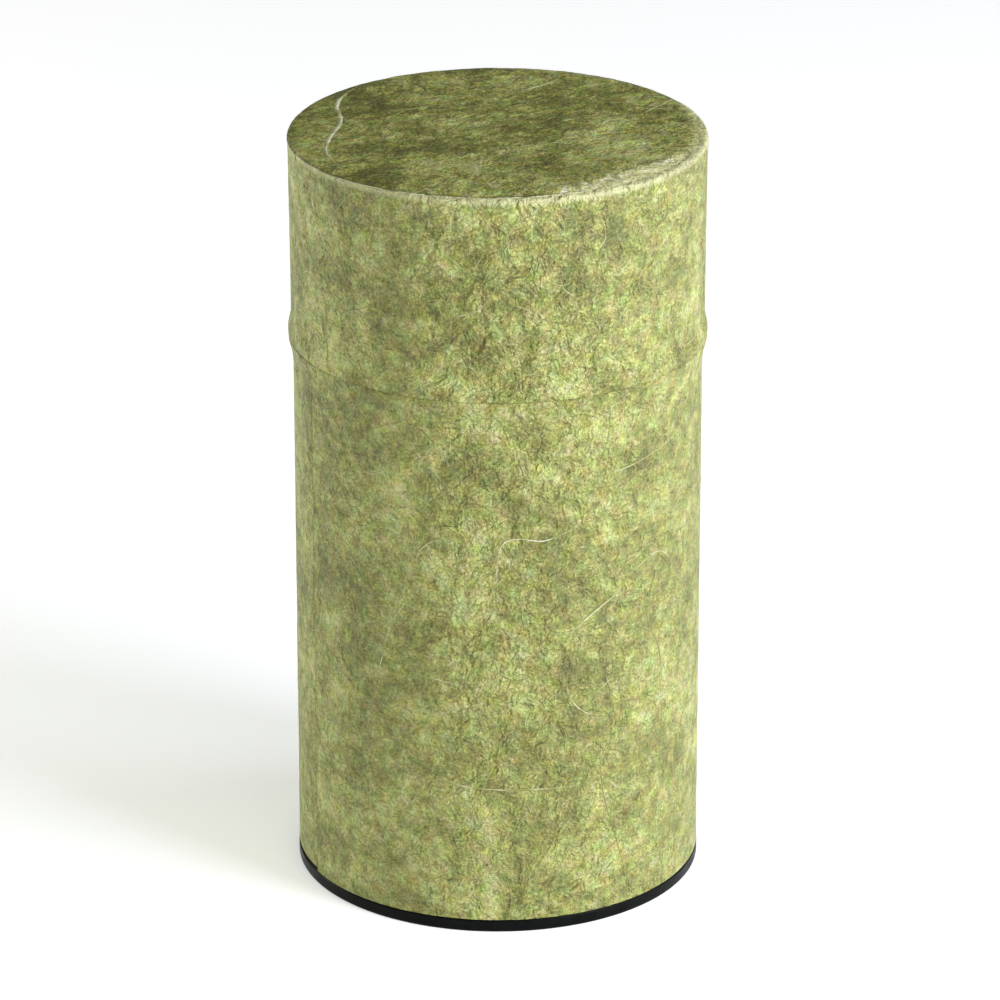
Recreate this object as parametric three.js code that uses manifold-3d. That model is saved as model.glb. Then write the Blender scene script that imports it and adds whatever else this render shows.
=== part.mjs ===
// A tea caddy: a tinplate can under mulberry paper, with a slip-over outer lid and a press-in inner lid.
// Millimetres, +Z up. The origin is the centre of the standing ring, on the surface the caddy stands on.
import * as THREE from "three";
import { mergeVertices } from "three/addons/utils/BufferGeometryUtils.js";
import Module from "manifold-3d";

const wasm = await Module();
wasm.setup();

// Driving dimensions
const height = 156.16; // over everything, outer lid on
const paperRadius = 41.0; // outer face of the can's paper
const tin = 0.25; // tinplate
const paper = 0.15; // washi
const glueGap = 0.01; // between a paper and the tin under it
const seamHeight = 114.0; // the line where the outer lid meets the can
const seamGap = 0.25; // open line between lid and can
const ringHeight = 2.6; // double seam round the foot
const neckTop = 144.5; // rolled rim of the can's neck
const lidSlip = 0.13; // outer lid's clearance round the neck
const cornerRadius = 0.85; // outer lid's top corner, over its tin
const crownRadius = 23; // the gentle bend of its top towards the corner
const crownTurn = 12.5; // degrees through which that bend falls
const aroundSides = 48;
const knobSides = 32;

// Radii and levels that follow from them
const canOuter = paperRadius - paper - glueGap;
const canInner = canOuter - tin;
const ledge = seamHeight - seamGap / 2;
const lidFoot = seamHeight + seamGap / 2;
const lidInner = canOuter + lidSlip;
const lidOuter = lidInner + tin;
const lidTopTin = height - paper - glueGap;

// Materials
const finish = (color, roughness, metalness) => new THREE.MeshStandardMaterial({ color, roughness, metalness });
const tinplate = () => finish(0xc9cacb, 0.28, 1);
const washi = () => finish(0x9a9a5c, 0.75, 0);
const lacquer = () => finish(0x0b0c0b, 0.22, 0);
const steel = () => finish(0xb8babc, 0.35, 1);

const at = (r, z) => new THREE.Vector2(r, z);

// The point of a circle about (r, z) at an angle in degrees from the outward direction.
function onCircle(r, z, radius, degrees) {
  const turn = THREE.MathUtils.degToRad(degrees);
  return at(r + radius * Math.cos(turn), z + radius * Math.sin(turn));
}

function arc(r, z, radius, from, to, steps) {
  const points = [];
  for (let i = 0; i <= steps; i += 1) {
    points.push(onCircle(r, z, radius, from + ((to - from) * i) / steps));
  }
  return points;
}

// A body of revolution about Z. The outline runs up the outer face and down the inner one.
function turned(outline, sides = aroundSides) {
  const first = outline[0];
  const last = outline[outline.length - 1];
  const closed = first.x === 0 && last.x === 0 ? outline : [...outline, first.clone()];
  const geometry = new THREE.LatheGeometry(closed, sides);
  return geometry.rotateX(Math.PI / 2);
}

function named(name, geometry, material) {
  const mesh = new THREE.Mesh(geometry, material);
  mesh.name = name;
  return mesh;
}

function solidOf(geometry) {
  const bare = geometry.clone();
  bare.deleteAttribute("normal");
  bare.deleteAttribute("uv");
  const merged = mergeVertices(bare, 1e-4);
  return new wasm.Manifold(
    new wasm.Mesh({
      numProp: 3,
      vertProperties: new Float32Array(merged.attributes.position.array),
      triVerts: new Uint32Array(merged.index.array),
    }),
  );
}

function geometryOf(solid) {
  const { vertProperties, triVerts } = solid.getMesh();
  const geometry = new THREE.BufferGeometry();
  geometry.setAttribute("position", new THREE.BufferAttribute(vertProperties, 3));
  geometry.setIndex(new THREE.BufferAttribute(triVerts, 1));
  return geometry;
}

// ---- The foot's double seam ----
// Five layers of tin, from the inside out: the end's chuck wall, the can's wall, the end's cover hook,
// the wall's body hook, and the end's seaming wall, which is the black ring. Each is one fold.

const seamTin = 0.22; // tin thinned by the seaming rolls
const seamFit = 0.03; // clearance between the folds
const wallFace = 40.35; // outer face of the can's wall in the seam
const coverHookInner = wallFace + seamFit;
const coverHookOuter = coverHookInner + seamTin;
const bodyHookInner = coverHookOuter + seamFit;
const bodyHookOuter = bodyHookInner + seamTin;
const ringInner = bodyHookOuter + seamFit;
const ringRadius = ringInner + seamTin;
const chuckFace = wallFace - tin - 0.04; // outer face of the chuck wall at its foot

const ringFloor = seamTin; // inside of the ring's foot
const bodyTurn = ringFloor + 0.08; // underside of the body hook's turn
const coverTurn = ringHeight - 0.55; // underside of the cover hook's turn
const bodyHookEnd = coverTurn - 0.25;
const coverHookEnd = 0.85;
const chamfer = 0.25;

// ---- The can: wall, foot and paper ----

// Below the ledge the can swells into a bead: height, and how far the bead stands out of the wall.
const bead = [
  [109.0, 0],
  [110.6, 0.18],
  [112.0, 0.48],
  [113.2, 0.84],
];
const beadCrest = 0.88;
const beadFace = (offset) => bead.map(([z, out]) => at(canOuter + out + offset, z));

const curlRadius = 0.6; // rolled rim
const curlCentre = canOuter - curlRadius;
const curlLevel = neckTop - curlRadius;
const curlInner = curlCentre - curlRadius;

const canWallOutline = [
  at(bodyHookOuter - chamfer, bodyTurn),
  at(bodyHookOuter, bodyTurn + chamfer),
  at(bodyHookOuter, bodyHookEnd),
  at(bodyHookInner, bodyHookEnd),
  at(bodyHookInner, bodyTurn + 0.35),
  at(bodyHookInner - 0.07, bodyTurn + chamfer),
  at(wallFace, bodyTurn + 0.35),
  at(wallFace, ringHeight + 0.1),
  at(canOuter, ringHeight + 0.8),
  ...beadFace(0),
  at(canOuter + beadCrest, ledge - 0.15),
  at(canOuter + beadCrest - 0.12, ledge),
  at(canOuter, ledge),
  ...arc(curlCentre, curlLevel, curlRadius, 0, 180, 6),
  at(curlInner + 0.12, curlLevel - 0.4),
  at(curlInner + 0.35, curlLevel - 0.3),
  ...arc(curlCentre, curlLevel, curlRadius - tin, 180, 0, 4),
  at(canInner, ledge - tin),
  at(canInner + beadCrest, ledge - tin),
  ...beadFace(-tin).reverse(),
  at(canInner, ringHeight + 0.9),
  at(wallFace - tin, ringHeight + 0.15),
  at(wallFace - tin, bodyTurn + 0.15),
  at(wallFace, bodyTurn),
];

// The wall is rolled from a sheet, so a lap of its two edges runs up inside, at the back.
const lapWidth = 4;
const lapFace = canInner - 0.34; // distance of the lap's inner face from the axis
const lapRoot = 0.06; // how far the lap is sunk into the wall's facets

function lapStrip(from, to) {
  const thickness = canInner + lapRoot - lapFace;
  const box = new THREE.BoxGeometry(lapWidth, thickness, to - from);
  box.translate(0, lapFace + thickness / 2, (from + to) / 2);
  return solidOf(box);
}

const canWallSolid = solidOf(turned(canWallOutline))
  .add(lapStrip(ringHeight + 1.9, bead[0][0] - 0.2))
  .add(lapStrip(ledge + 0.3, curlLevel - 1.5));
const canWall = named("can_wall", geometryOf(canWallSolid), tinplate());

// The lacquered end: a sunk panel, a chuck wall inside the can's wall, and a seaming wall outside it
// whose edge hooks in behind the body hook.
const panelTop = 3.5;
const panelUnder = panelTop - tin;
const panelRadius = 39.3;
const standInner = 40.2; // the flat ring that the caddy stands on
const standOuter = 40.75;
const canBottomOutline = [
  at(0, panelUnder),
  at(panelRadius, panelUnder),
  at(chuckFace - tin - 0.06, panelUnder - 0.4),
  at(chuckFace - tin, 0.35),
  at(standInner - chamfer, 0.07),
  at(standInner, 0),
  at(standOuter, 0),
  at(ringRadius - 0.12, 0.15),
  at(ringRadius, 0.5),
  at(ringRadius, ringHeight - 0.35),
  at(ringRadius - 0.14, ringHeight - 0.08),
  at(ringInner - 0.14, ringHeight),
  at(coverHookInner + 0.07, ringHeight - 0.1),
  at(coverHookInner, ringHeight - 0.3),
  at(coverHookInner, coverHookEnd),
  at(coverHookOuter, coverHookEnd),
  at(coverHookOuter, coverTurn),
  at(ringInner, coverTurn),
  at(ringInner, ringFloor + 0.2),
  at(ringInner - 0.19, ringFloor),
  at(standInner + 0.05, ringFloor),
  at(chuckFace, ringFloor + 0.16),
  at(chuckFace - 0.06, panelTop - 0.5),
  at(chuckFace - 0.36, panelTop),
  at(0, panelTop),
];
const canBottom = named("can_bottom", turned(canBottomOutline), lacquer());

const paperFoot = ringHeight + 0.06;
const paperHead = ledge - 0.12;
const canPaperOutline = [
  at(paperRadius, paperFoot),
  ...beadFace(glueGap + paper),
  at(canOuter + beadCrest + glueGap + paper, paperHead),
  at(canOuter + beadCrest + glueGap, paperHead),
  ...beadFace(glueGap).reverse(),
  at(canOuter + glueGap, paperFoot),
];
const canPaper = named("can_paper", turned(canPaperOutline), washi());

// ---- The inner lid: a pressed plug with a riveted knob ----

const rimRest = 0.1; // the flange rests this far above the rolled rim
const flangeUnder = neckTop + rimRest;
const flangeTop = flangeUnder + 2 * tin;
const plugRadius = 39.45;
const plugInner = plugRadius - tin;
const plugFoot = 132.5;
const plateTop = 143.75;
const plateUnder = plateTop - tin;
const plateRadius = 38.8;
const plateBend = 0.25; // bend between the plate and the plug's inner face
const rivetHole = 1.75;

const innerLidOutline = [
  at(rivetHole, plateUnder),
  at(plateRadius, plateUnder),
  at(plugInner, plateUnder - 0.4),
  at(plugInner, plugFoot + 0.8),
  at(plugInner - 0.25, plugFoot),
  at(plugInner - 0.03, plugFoot),
  at(plugRadius, plugFoot + 0.75),
  at(plugRadius, flangeUnder),
  at(canOuter - 0.3, flangeUnder),
  at(canOuter - 0.09, flangeUnder + tin),
  at(canOuter - 0.3, flangeTop),
  at(plateRadius + 0.3, flangeTop),
  at(plateRadius + 0.06, flangeTop - plateBend),
  at(plateRadius, plateTop + plateBend),
  at(plateRadius - plateBend, plateTop),
  at(rivetHole, plateTop),
];
const innerLidPan = named("inner_lid_pan", turned(innerLidOutline), tinplate());

const knobFoot = plateTop + 0.07;
const knobTop = 153.5;
const knobFootRadius = 5.4;
const knobWaist = 3.3;
const knobRadius = 7.6;
const rivetRadius = 1.5;
const rivetTop = knobFoot + 5.2;
const knobOutline = [
  at(0, rivetTop + 0.1),
  at(rivetRadius + 0.05, rivetTop + 0.1),
  at(rivetRadius + 0.05, knobFoot),
  at(knobFootRadius - 0.2, knobFoot),
  at(knobFootRadius, knobFoot + 0.4),
  at(knobWaist + 0.6, knobFoot + 1.4),
  at(knobWaist, knobFoot + 3.0),
  at(knobWaist + 1.1, knobFoot + 4.6),
  at(knobRadius - 0.6, knobFoot + 5.6),
  at(knobRadius, knobFoot + 6.8),
  at(knobRadius - 0.6, knobFoot + 8.2),
  at(knobRadius - 3.0, knobTop - 0.4),
  at(knobRadius - 5.4, knobTop - 0.05),
  at(0, knobTop),
];
const knob = named("inner_lid_knob", turned(knobOutline, knobSides), tinplate());

const washerRadius = 4.6;
const washerTop = plateUnder - 0.07;
const washerUnder = washerTop - 0.3;
const washerOutline = [
  at(rivetHole, washerUnder),
  at(washerRadius, washerUnder),
  at(washerRadius, washerTop),
  at(rivetHole, washerTop),
];
const washer = named("knob_washer", turned(washerOutline, knobSides), steel());

const rivetHeadRadius = 3.2;
const rivetHeadTop = washerUnder - 0.05;
const rivetOutline = [
  at(0, rivetHeadTop - 0.75),
  at(rivetHeadRadius - 1.0, rivetHeadTop - 0.7),
  at(rivetHeadRadius - 0.1, rivetHeadTop - 0.35),
  at(rivetHeadRadius, rivetHeadTop),
  at(rivetRadius, rivetHeadTop),
  at(rivetRadius, rivetTop),
  at(0, rivetTop),
];
const rivet = named("knob_rivet", turned(rivetOutline, knobSides), steel());

// ---- The outer lid: a drawn shell, the paper round it and the paper disc on top ----

// Its foot flares over the can's bead: height, and how far the flare stands out of the wall.
const flare = [
  [115.3, 0.58],
  [116.3, 0.44],
  [117.2, 0.24],
  [118.4, 0],
];
const flareCrest = flare[0][1];
const flareFace = (offset) => flare.map(([z, out]) => at(lidOuter + out + offset, z));

const lidTaper = 0.3; // how much wider the outer lid is at its top corner
const crownFall = THREE.MathUtils.degToRad(crownTurn);
const cornerCentre = lidOuter + lidTaper - cornerRadius;
const crownCentre = cornerCentre - (crownRadius - cornerRadius) * Math.sin(crownFall);
const crownLevel = lidTopTin - crownRadius;
const cornerLevel = crownLevel + (crownRadius - cornerRadius) * Math.cos(crownFall);

// The tin and both papers bend at the same angles, counted from the outward side.
const cornerStart = 90 - crownTurn;
const cornerStep = cornerStart / 5;
const wrapEnd = 3 * cornerStep; // how far round the corner the side paper is turned in
const discBend = 4 * cornerStep;
const discEdge = wrapEnd + 2;

const cornerFace = (offset, from, to) =>
  arc(cornerCentre, cornerLevel, cornerRadius + offset, from, to, Math.abs(to - from) / cornerStep);
const crownFace = (offset) => arc(crownCentre, crownLevel, crownRadius + offset, 90, cornerStart, 4);

const lidShellOutline = [
  at(0, lidTopTin - tin),
  ...crownFace(-tin),
  ...cornerFace(-tin, cornerStart, 0).slice(1),
  ...flareFace(-tin).reverse(),
  at(lidInner + flareCrest, lidFoot),
  at(lidOuter + flareCrest, lidFoot),
  ...flareFace(0),
  ...cornerFace(0, 0, cornerStart),
  ...crownFace(0).reverse().slice(1),
  at(0, lidTopTin),
];
const lidShell = named("lid_shell", turned(lidShellOutline), tinplate());

const lidSidePaperOutline = [
  at(lidOuter + flareCrest + glueGap, lidFoot + 0.05),
  at(lidOuter + flareCrest + glueGap + paper, lidFoot + 0.05),
  ...flareFace(glueGap + paper),
  ...cornerFace(glueGap + paper, 0, wrapEnd),
  ...cornerFace(glueGap, wrapEnd, 0),
  ...flareFace(glueGap).reverse(),
];
const lidSidePaper = named("lid_side_paper", turned(lidSidePaperOutline), washi());

// The disc is pressed down over the corner until it meets the edge of the side paper.
const discOutline = [
  at(0, lidTopTin + glueGap),
  ...crownFace(glueGap),
  ...cornerFace(glueGap, cornerStart, discBend).slice(1),
  onCircle(cornerCentre, cornerLevel, cornerRadius + glueGap, discEdge),
  onCircle(cornerCentre, cornerLevel, cornerRadius + glueGap + paper, discEdge),
  ...cornerFace(glueGap + paper, discBend, cornerStart),
  ...crownFace(glueGap + paper).reverse().slice(1),
  at(0, height),
];
const lidTopPaper = named("lid_top_paper", turned(discOutline), washi());

const caddy = new THREE.Group();
caddy.add(canWall, canBottom, canPaper);
caddy.add(innerLidPan, knob, rivet, washer);
caddy.add(lidShell, lidSidePaper, lidTopPaper);

export default caddy;
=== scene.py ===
"""The looks of a tea caddy: a tinplate can with two lids, covered in olive-green mulberry paper.

Blender works in metres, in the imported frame. Outlines are in millimetres (r, z) and turn about Z.
An angle round the caddy is counted from the front (-Y), positive to the right (+X).
"""
import math
import random

import bmesh
import bpy
import numpy as np
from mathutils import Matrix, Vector, noise


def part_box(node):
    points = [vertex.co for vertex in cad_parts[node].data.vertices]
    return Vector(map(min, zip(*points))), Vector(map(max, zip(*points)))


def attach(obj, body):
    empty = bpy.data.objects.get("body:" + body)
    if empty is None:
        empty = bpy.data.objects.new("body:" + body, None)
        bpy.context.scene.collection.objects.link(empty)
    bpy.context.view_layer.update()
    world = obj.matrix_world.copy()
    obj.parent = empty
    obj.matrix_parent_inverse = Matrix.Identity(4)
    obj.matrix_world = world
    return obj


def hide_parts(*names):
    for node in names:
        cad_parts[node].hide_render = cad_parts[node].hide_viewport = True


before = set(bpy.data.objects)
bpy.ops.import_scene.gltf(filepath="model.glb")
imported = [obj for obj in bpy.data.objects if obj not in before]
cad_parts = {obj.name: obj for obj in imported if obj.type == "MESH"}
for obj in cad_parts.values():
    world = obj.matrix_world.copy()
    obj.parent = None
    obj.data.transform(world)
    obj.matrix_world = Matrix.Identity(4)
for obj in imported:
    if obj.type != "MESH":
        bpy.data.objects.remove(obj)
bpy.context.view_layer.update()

MM = 0.001

# ---- Sizes, in millimetres, from the frame where it gives them ----

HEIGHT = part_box("lid_top_paper")[1].z / MM
RING_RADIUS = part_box("can_bottom")[1].x / MM
NECK_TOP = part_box("can_wall")[1].z / MM
LID_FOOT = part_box("lid_shell")[0].z / MM
SEAM = 114.0
OPEN_LINE = 0.03  # between the lid's paper and the can's
LEDGE = 2 * SEAM - LID_FOOT
LID_TIN_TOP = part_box("lid_shell")[1].z / MM

BODY_RADIUS = 41.0  # outer face of the can's paper
PAPER = 0.15
GLUE = 0.01
TIN = 0.25
CAN_OUTER = BODY_RADIUS - PAPER - GLUE
CAN_INNER = CAN_OUTER - TIN
RING_HEIGHT = 2.6
HOOK_WALL = 40.35
LID_INNER = CAN_OUTER + 0.13
LID_OUTER = LID_INNER + TIN
LID_TAPER = 0.18
SHOULDER = 0.12

# The lid's top falls gently towards its corner: tin radii, and the slope in degrees where they meet.
CORNER = 0.85
CROWN = 23.0
CROWN_TURN = 12.5
CORNER_R = LID_OUTER + LID_TAPER + SHOULDER - CORNER
CROWN_R = CORNER_R - (CROWN - CORNER) * math.sin(math.radians(CROWN_TURN))
CROWN_Z = LID_TIN_TOP - CROWN
CORNER_Z = CROWN_Z + (CROWN - CORNER) * math.cos(math.radians(CROWN_TURN))
CROWN_LENGTH = (CROWN + PAPER) * math.radians(CROWN_TURN)  # along the paper
CORNER_LENGTH = (CORNER + PAPER) * math.radians(90 - CROWN_TURN)

# The disc on top was glued a little off centre, over the side paper's turned-in margin.
DISC_RADIUS = 41.15
DISC_SHIFT = (-0.9, 0.3)
MARGIN = 36.6  # inner edge of the turned-in margin, from the axis
HIGHLIGHT_SIDE = math.radians(42)  # the side, from the front, on which a highlight is painted along the disc's edge
HIGHLIGHT_FROM = 36.0  # how far out on that side the painted highlight starts
WORN_SIDE = math.radians(70)  # the side on which the disc's edge has worn flush with the margin; there its edge is also painted paler as a highlight
WORN_FROM = 28.0

# How far the can's paper stands out from BODY_RADIUS as it nears the lid, and the lid's radius from
# its foot up: together they make a soft bamboo node with the open line through it.
CAN_SWELL = [
    (108.4, 0.0), (109.9, 0.13), (111.2, 0.34), (112.1, 0.55), (112.9, 0.81), (113.4, 0.92), (113.87, 0.95),
]
LID_SWELL = [
    (114.02, 0.51), (114.3, 0.57), (114.75, 0.61), (115.3, 0.61),
    (116.1, 0.48), (117.0, 0.28), (118.0, 0.07), (119.2, 0.0),
]

SIDES = 360  # columns of a body of revolution


# ---- Mesh helpers ----

def smooth_line(points, steps):
    """A curve through a few given points, with steps to each stretch (Catmull-Rom)."""
    p = np.array([points[0], *points, points[-1]], float)
    t = np.linspace(0, 1, steps, endpoint=False)[:, None]
    out = []
    for i in range(1, len(p) - 2):
        a, b, c, d = p[i - 1], p[i], p[i + 1], p[i + 2]
        square = 2 * a - 5 * b + 4 * c - d
        cube = 3 * b - a - 3 * c + d
        out.append(0.5 * (2 * b + (c - a) * t + square * t**2 + cube * t**3))
    out.append(p[-1][None, :])
    return np.vstack(out)


def arc(r, z, radius, start, end, steps):
    """Points on an arc about (r, z), angles in degrees from the outward direction."""
    turns = [math.radians(start + (end - start) * i / steps) for i in range(steps + 1)]
    return [(r + radius * math.cos(a), z + radius * math.sin(a)) for a in turns]


def around(extra=(), sides=SIDES):
    """Even angles round the caddy in radians, with extra ones in degrees put in among them."""
    even = [-math.pi + 2 * math.pi * i / sides for i in range(sides)]
    return np.array(sorted(even + [math.radians(a) for a in extra]))


def mesh_object(name, vertices, faces, sharp=32.0):
    mesh = bpy.data.meshes.new(name)
    mesh.from_pydata((np.asarray(vertices) * MM).tolist(), [], faces)
    mesh.validate()
    mesh.shade_smooth()
    mesh.set_sharp_from_angle(angle=math.radians(sharp))
    thing = bpy.data.objects.new(name, mesh)
    bpy.context.scene.collection.objects.link(thing)
    return thing


def revolve(name, outline, angles=None, shape=None, sharp=32.0):
    """A closed body of revolution. The outline goes up the outer face and down the inner one, and
    either starts and ends on the axis or closes on itself. shape may change (r, z) at each angle:
    it takes arrays of r, z and angle and gives new r and z."""
    angles = around() if angles is None else angles
    outline = np.array(outline, float)
    on_axis = outline[0, 0] == 0
    m = len(angles)
    r = np.repeat(outline[:, :1], m, 1)
    z = np.repeat(outline[:, 1:], m, 1)
    if shape:
        r, z = shape(r, z, np.repeat(angles[None, :], len(outline), 0))
    grid = np.stack([r * np.sin(angles), -r * np.cos(angles), z], -1)
    index = np.arange(len(outline) * m).reshape(len(outline), m)
    if on_axis:
        index[0, :] = index[0, 0]
        index[-1, :] = index[-1, 0]
    faces = []
    rows = len(outline) - 1 if on_axis else len(outline)
    for i in range(rows):
        low, high = index[i], index[(i + 1) % len(outline)]
        for j in range(m):
            k = (j + 1) % m
            loop = [low[j], low[k], high[k], high[j]]
            faces.append([int(v) for n, v in enumerate(loop) if v not in loop[:n]])
    thing = mesh_object(name, grid.reshape(-1, 3), faces, sharp)
    if on_axis:
        drop_loose(thing)
    return thing


def drop_loose(thing):
    """Deletes the unused vertices of a pole's row."""
    bm = bmesh.new()
    bm.from_mesh(thing.data)
    for v in [v for v in bm.verts if not v.link_faces]:
        bm.verts.remove(v)
    bm.to_mesh(thing.data)
    bm.free()


def paint_faces(thing, material_index, test):
    """Gives a material slot to the faces whose centre (mm) and normal pass the test."""
    for face in thing.data.polygons:
        if test(face.center / MM, face.normal):
            face.material_index = material_index


def finish_piece(thing, body, node, slot, *materials):
    """Gives a piece its materials and the body it rides, and hides the frame's node it stands for, if any."""
    for material in materials:
        thing.data.materials.append(material)
    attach(thing, body)
    if node:
        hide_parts(node)


# ---- Shader helpers ----

class Graph:
    """A node material, with short calls for the nodes that the materials below share."""

    def __init__(self, name):
        self.material = bpy.data.materials.new(name)
        self.material.use_nodes = True
        self.tree = self.material.node_tree
        self.tree.nodes.clear()
        self.shader = self.tree.nodes.new("ShaderNodeBsdfPrincipled")
        output = self.tree.nodes.new("ShaderNodeOutputMaterial")
        self.tree.links.new(self.shader.outputs["BSDF"], output.inputs["Surface"])

    def put(self, socket, value):
        if isinstance(value, bpy.types.NodeSocket):
            self.tree.links.new(value, socket)
        else:
            socket.default_value = value

    def set(self, **values):
        for name, value in values.items():
            self.put(self.shader.inputs[name.replace("_", " ")], value)

    def millimetres(self, shift=(0, 0, 0), stretch=(1, 1, 1)):
        """The piece's own coordinates in millimetres."""
        node = self.tree.nodes.new("ShaderNodeMapping")
        node.inputs["Location"].default_value = shift
        node.inputs["Scale"].default_value = [s / MM for s in stretch]
        coordinates = self.tree.nodes.new("ShaderNodeTexCoord")
        self.tree.links.new(coordinates.outputs["Object"], node.inputs["Vector"])
        return node.outputs["Vector"]

    def sheet(self, shift=(0, 0)):
        """Where a point lies on the flat sheet, in millimetres, before the sheet is glued round the tin."""
        node = self.tree.nodes.new("ShaderNodeMapping")
        node.inputs["Location"].default_value = (*shift, 0)
        flat = self.tree.nodes.new("ShaderNodeUVMap")
        flat.uv_map = "Sheet"
        self.tree.links.new(flat.outputs["UV"], node.inputs["Vector"])
        return node.outputs["Vector"]

    def reach(self, side):
        """How far out a point of the flat sheet lies towards a side, given in radians from the front."""
        node = self.tree.nodes.new("ShaderNodeVectorMath")
        node.operation = "DOT_PRODUCT"
        self.put(node.inputs[0], self.sheet())
        node.inputs[1].default_value = (math.sin(side), -math.cos(side), 0)
        return node.outputs["Value"]

    def bent(self, place, size, amount):
        """The same place, pushed about by up to amount mm, so that lines drawn there curl."""
        push = self.tree.nodes.new("ShaderNodeTexNoise")
        push.noise_dimensions = "2D"
        self.put(push.inputs["Vector"], place)
        push.inputs["Scale"].default_value = 1 / size
        push.inputs["Detail"].default_value = 2
        node = self.tree.nodes.new("ShaderNodeVectorMath")
        node.operation = "MULTIPLY_ADD"
        self.put(node.inputs[0], push.outputs["Color"])
        node.inputs[1].default_value = (2 * amount, 2 * amount, 0)
        self.put(node.inputs[2], place)
        return node.outputs["Vector"]

    def streaks(self, place, turn, length, width):
        """Noise drawn out along one direction of the sheet, like combed fibres."""
        node = self.tree.nodes.new("ShaderNodeMapping")
        node.vector_type = "TEXTURE"
        node.inputs["Location"].default_value = (turn * 3.7, turn * 1.9, 0)
        node.inputs["Rotation"].default_value = (0, 0, math.radians(turn))
        node.inputs["Scale"].default_value = (length, width, 1)
        self.put(node.inputs["Vector"], place)
        return self.noise(node.outputs["Vector"], 1.0, 1.0, 0.5, flat=True)

    def noise(self, place, size, detail=2.0, rough=0.5, warp=0.0, flat=False):
        """Soft noise from 0 to 1 whose lumps are about size mm apart."""
        node = self.tree.nodes.new("ShaderNodeTexNoise")
        node.noise_dimensions = "2D" if flat else "3D"
        self.put(node.inputs["Vector"], place)
        node.inputs["Scale"].default_value = 1 / size
        node.inputs["Detail"].default_value = detail
        node.inputs["Roughness"].default_value = rough
        node.inputs["Distortion"].default_value = warp
        return node.outputs["Fac"]

    def tint(self, place, size, spread):
        """A colour near white whose red, green and blue each drift on their own by up to spread."""
        drift = self.tree.nodes.new("ShaderNodeTexNoise")
        drift.noise_dimensions = "2D"
        self.put(drift.inputs["Vector"], place)
        drift.inputs["Scale"].default_value = 1 / size
        drift.inputs["Detail"].default_value = 2
        node = self.tree.nodes.new("ShaderNodeVectorMath")
        node.operation = "MULTIPLY_ADD"
        self.put(node.inputs[0], drift.outputs["Color"])
        node.inputs[1].default_value = [2 * s for s in spread]
        node.inputs[2].default_value = [1 - s for s in spread]
        return node.outputs["Vector"]

    def math(self, kind, a, b=0.5, c=0.5):
        node = self.tree.nodes.new("ShaderNodeMath")
        node.operation = kind
        for socket, value in zip(node.inputs, (a, b, c)):
            self.put(socket, value)
        return node.outputs["Value"]

    def span(self, value, low, high, to_low=0.0, to_high=1.0):
        node = self.tree.nodes.new("ShaderNodeMapRange")
        node.interpolation_type = "SMOOTHSTEP"
        for socket, v in zip(node.inputs, (value, low, high, to_low, to_high)):
            self.put(socket, v)
        return node.outputs["Result"]

    def mix(self, amount, a, b, kind="MIX"):
        node = self.tree.nodes.new("ShaderNodeMix")
        node.data_type = "RGBA"
        node.blend_type = kind
        self.put(node.inputs["Factor"], amount)
        self.put(node.inputs[6], a)  # 6, 7 and 2 are the sockets for colours
        self.put(node.inputs[7], b)
        return node.outputs[2]

    def ramp(self, value, stops):
        node = self.tree.nodes.new("ShaderNodeValToRGB")
        elements = node.color_ramp.elements
        while len(elements) < len(stops):
            elements.new(0.5)
        for element, (place, colour) in zip(elements, stops):
            element.position = place
            element.color = (*colour, 1)
        self.put(node.inputs["Fac"], value)
        return node.outputs["Color"]

    def threads(self, place, size, width, warp, mask_size, mask_from):
        """Thin wandering lines: where a noise crosses its middle value, broken up by a second noise."""
        field = self.noise(place, size, 1.0, 0.5, warp, flat=True)
        away = self.math("ABSOLUTE", self.math("SUBTRACT", field, 0.5))
        line = self.span(away, width, 0.0)
        mask = self.span(self.noise(place, mask_size, 1.0, flat=True), mask_from, mask_from + 0.08)
        return self.math("MULTIPLY", line, mask)

    def bump(self, height, depth, strength=1.0, under=None):
        """A relief of depth mm where height goes from 0 to 1."""
        node = self.tree.nodes.new("ShaderNodeBump")
        node.inputs["Strength"].default_value = strength
        node.inputs["Distance"].default_value = depth * MM
        self.put(node.inputs["Height"], height)
        if under is not None:
            self.put(node.inputs["Normal"], under)
        return node.outputs["Normal"]


# Directions in degrees, and the length and width in mm, of the fibres felted into the paper.
FELTED = [
    (12, 4.6, 0.72), (57, 4.1, 0.66), (103, 5.0, 0.76), (148, 4.4, 0.70),
    (33, 2.2, 0.42), (79, 1.9, 0.38), (124, 2.4, 0.44), (171, 2.1, 0.40),
]


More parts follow.
